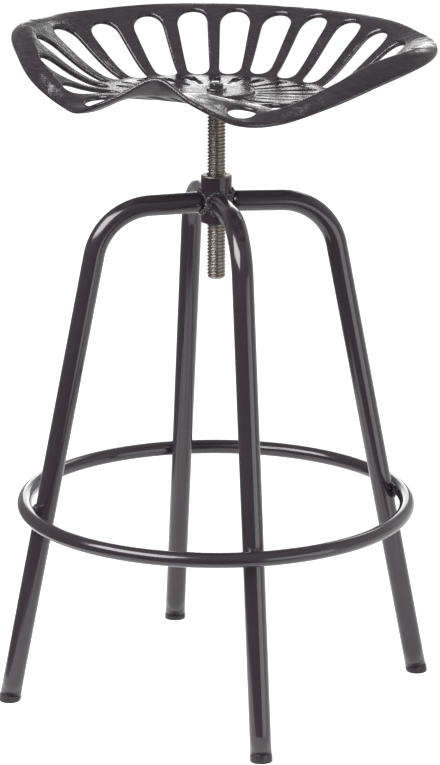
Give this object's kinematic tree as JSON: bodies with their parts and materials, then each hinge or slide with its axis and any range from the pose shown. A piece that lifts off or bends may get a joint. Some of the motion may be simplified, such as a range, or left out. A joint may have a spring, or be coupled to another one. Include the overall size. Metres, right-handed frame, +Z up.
{
  "type": "tractor seat stool",
  "caption": "Height-adjustable stool with a slotted cast tractor seat on a screw spindle, a threaded hub, splayed bent tube legs and a round foot ring.",
  "frame": {"origin": "on the floor, under the spindle axis, at the bottom centre of the whole stool", "axes": "+Z up along the spindle axis, -Y towards the front of the seat, +X to the sitter's left"},
  "size_m": [0.4618, 0.4192, 0.706],
  "materials": {
    "gloss_paint": "gloss",
    "cast_seat": "gloss painted",
    "screw_steel": "bare, slightly browned",
    "zinc": "satin",
    "cap_plastic": "satin"
  },
  "bodies": {
    "frame": {"hub": "gloss_paint", "hub_welds": "gloss_paint", "front_leg": "gloss_paint", "right_leg": "gloss_paint", "back_leg": "gloss_paint", "left_leg": "gloss_paint", "foot_ring": "gloss_paint", "front_ring_weld": "gloss_paint", "right_ring_weld": "gloss_paint", "back_ring_weld": "gloss_paint", "left_ring_weld": "gloss_paint", "front_foot_cap": "cap_plastic", "right_foot_cap": "cap_plastic", "back_foot_cap": "cap_plastic", "left_foot_cap": "cap_plastic"},
    "lift": {"seat_washer": "zinc"},
    "swivel_seat": {"seat": "cast_seat", "seat_bolt": "zinc", "seat_plate": "gloss_paint", "spindle": "screw_steel"}
  },
  "joints": [
    {"name": "screw_lift", "type": "slide", "parent": "frame", "child": "lift", "axis": [0, 0, 1], "range_m": [-0.06897, 0.05445]},
    {"name": "seat_turn", "type": "hinge", "parent": "lift", "child": "swivel_seat", "pos_m": [0, 0, 0.638], "axis": [0, 0, 1], "range_deg": [-6840, 5400]}
  ],
  "couplings": [
    {"joint": "screw_lift", "follows": "seat_turn", "m_per_rad": 0.00057773}
  ]
}
